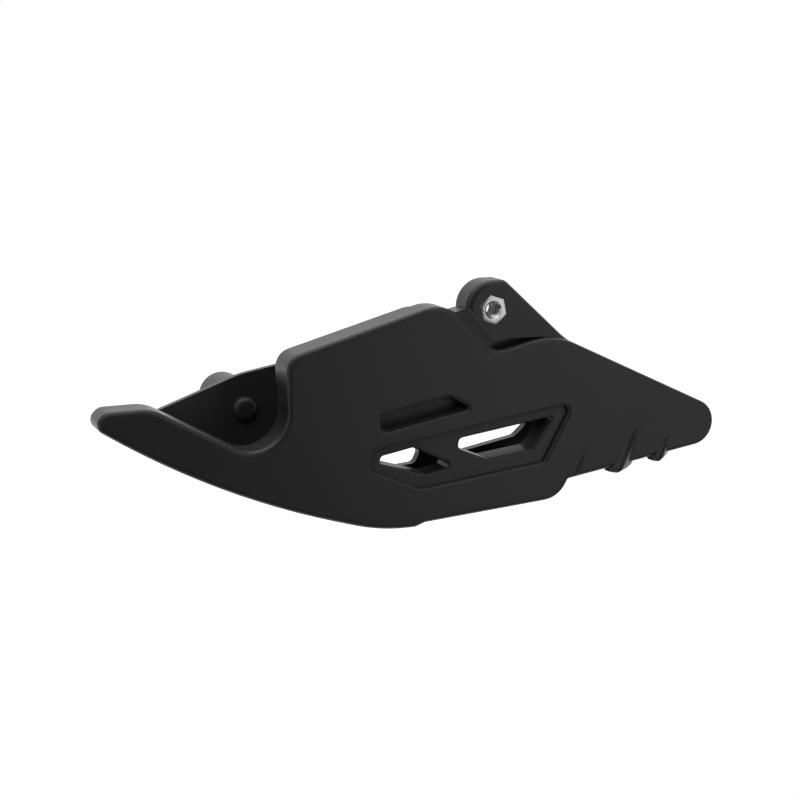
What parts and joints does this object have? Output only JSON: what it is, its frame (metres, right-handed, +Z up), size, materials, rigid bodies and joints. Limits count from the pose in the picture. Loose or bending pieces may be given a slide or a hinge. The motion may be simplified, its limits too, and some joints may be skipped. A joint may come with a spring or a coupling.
{
  "type": "motorcycle_chain_guide",
  "caption": "Moulded black chain guide for a motorbike swingarm, a curved open channel with an ear that holds a captive steel nut and a locating peg behind.",
  "frame": {"origin": "the middle of the captive nut's thread", "axes": "+X along the chain run towards the rear wheel, +Y from the outer wall inwards along the nut's thread, +Z up"},
  "size_m": [0.2428, 0.0647, 0.0887],
  "materials": {
    "guide_plastic": "fine satin mould grain",
    "nut_steel": "bright zinc"
  },
  "bodies": {
    "root": {"guide_body": "guide_plastic", "ear_nut": "nut_steel"}
  },
  "joints": []
}
